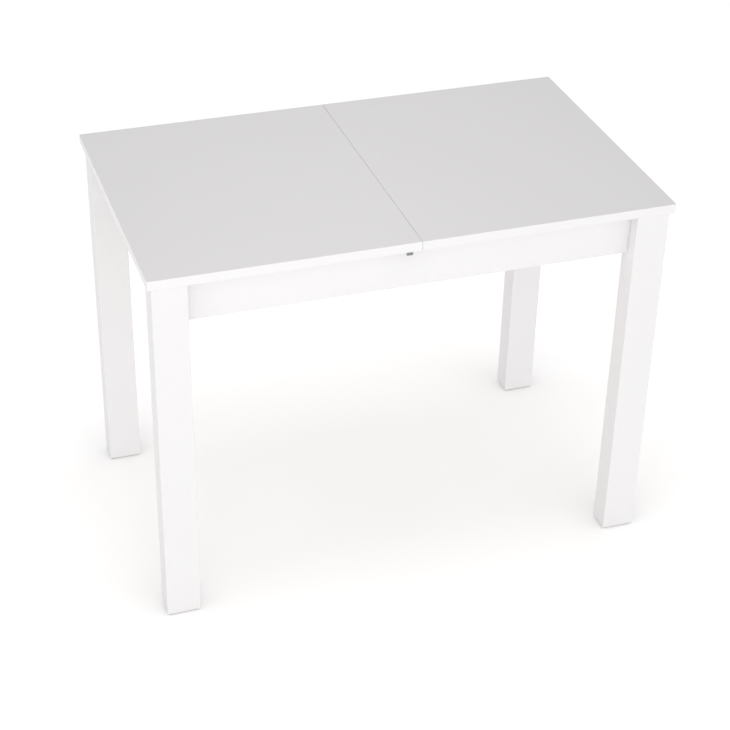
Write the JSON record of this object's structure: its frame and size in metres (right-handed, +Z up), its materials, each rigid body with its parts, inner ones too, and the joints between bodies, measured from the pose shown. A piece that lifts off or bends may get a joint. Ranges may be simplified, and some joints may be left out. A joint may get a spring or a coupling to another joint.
{
  "type": "extendable dining table",
  "caption": "Small rectangular white dining table on four board legs; the top parts in the middle and slides out so that a stored extension leaf can be laid in.",
  "frame": {"origin": "on the floor, under the centre of the closed table top", "axes": "+X along the table, the way the right half slides out; +Y from the front to the back; +Z up"},
  "size_m": [1, 0.6, 0.75],
  "materials": {
    "foiled_board": "fibreboard with a satin white foil",
    "hardwood": "planed beech, waxed",
    "softwood": "planed pine, unfinished",
    "zinc_steel": "bright zinc plating",
    "grey_steel": "mid grey powder coat",
    "glide_plastic": "grey polyethylene, fine matte texture",
    "bumper_rubber": "black moulded rubber"
  },
  "bodies": {
    "frame": {"leg_front_left": "foiled_board", "leg_front_right": "foiled_board", "leg_back_left": "foiled_board", "leg_back_right": "foiled_board", "foot_glide_front_left": "glide_plastic", "foot_glide_front_right": "glide_plastic", "foot_glide_back_left": "glide_plastic", "foot_glide_back_right": "glide_plastic", "corner_bracket_front_left": "zinc_steel", "corner_bracket_front_right": "zinc_steel", "corner_bracket_back_left": "zinc_steel", "corner_bracket_back_right": "zinc_steel", "leg_bolt_front_left": "zinc_steel", "leg_bolt_front_right": "zinc_steel", "leg_bolt_back_left": "zinc_steel", "leg_bolt_back_right": "zinc_steel", "leg_nut_front_left": "zinc_steel", "leg_nut_front_right": "zinc_steel", "leg_nut_back_left": "zinc_steel", "leg_nut_back_right": "zinc_steel", "apron_front": "foiled_board", "apron_back": "foiled_board", "apron_left": "foiled_board", "apron_right": "foiled_board", "guide_rail_front": "hardwood", "guide_rail_back": "hardwood", "leaf_batten_left": "softwood", "leaf_batten_right": "softwood", "batten_bracket_front_left": "zinc_steel", "batten_bracket_front_right": "zinc_steel", "batten_bracket_back_left": "zinc_steel", "batten_bracket_back_right": "zinc_steel", "stop_bumper_front_left": "bumper_rubber", "stop_bumper_front_right": "bumper_rubber", "stop_bumper_back_left": "bumper_rubber", "stop_bumper_back_right": "bumper_rubber"},
    "left_top": {"table_top_left": "foiled_board", "runner_left_outer": "hardwood", "runner_left_inner": "hardwood", "seam_dowel_front": "hardwood", "seam_dowel_middle": "hardwood", "seam_dowel_back": "hardwood", "latch_screw_front_1": "zinc_steel", "latch_screw_front_2": "zinc_steel", "latch_screw_back_1": "zinc_steel", "latch_screw_back_2": "zinc_steel"},
    "right_top": {"table_top_right": "foiled_board", "runner_right_outer": "hardwood", "runner_right_inner": "hardwood", "keeper_pin_front": "zinc_steel", "keeper_pin_back": "zinc_steel"},
    "front_latch": {"latch_plate_front": "grey_steel"},
    "back_latch": {"latch_plate_back": "grey_steel"},
    "leaf": {"extension_leaf": "foiled_board", "leaf_dowel_left": "hardwood", "leaf_dowel_middle": "hardwood", "leaf_dowel_right": "hardwood"}
  },
  "joints": [
    {"name": "left_top_slide", "type": "slide", "parent": "frame", "child": "left_top", "axis": [-1, 0, 0], "range_m": [0, 0.175]},
    {"name": "right_top_slide", "type": "slide", "parent": "frame", "child": "right_top", "axis": [1, 0, 0], "range_m": [0, 0.175]},
    {"name": "front_latch_slide", "type": "slide", "parent": "left_top", "child": "front_latch", "axis": [0, 1, 0], "range_m": [0, 0.006]},
    {"name": "back_latch_slide", "type": "slide", "parent": "left_top", "child": "back_latch", "axis": [0, -1, 0], "range_m": [0, 0.006]},
    {"name": "leaf_lift", "type": "slide", "parent": "frame", "child": "leaf", "axis": [0, 0, 1], "range_m": [0, 0.018]}
  ]
}
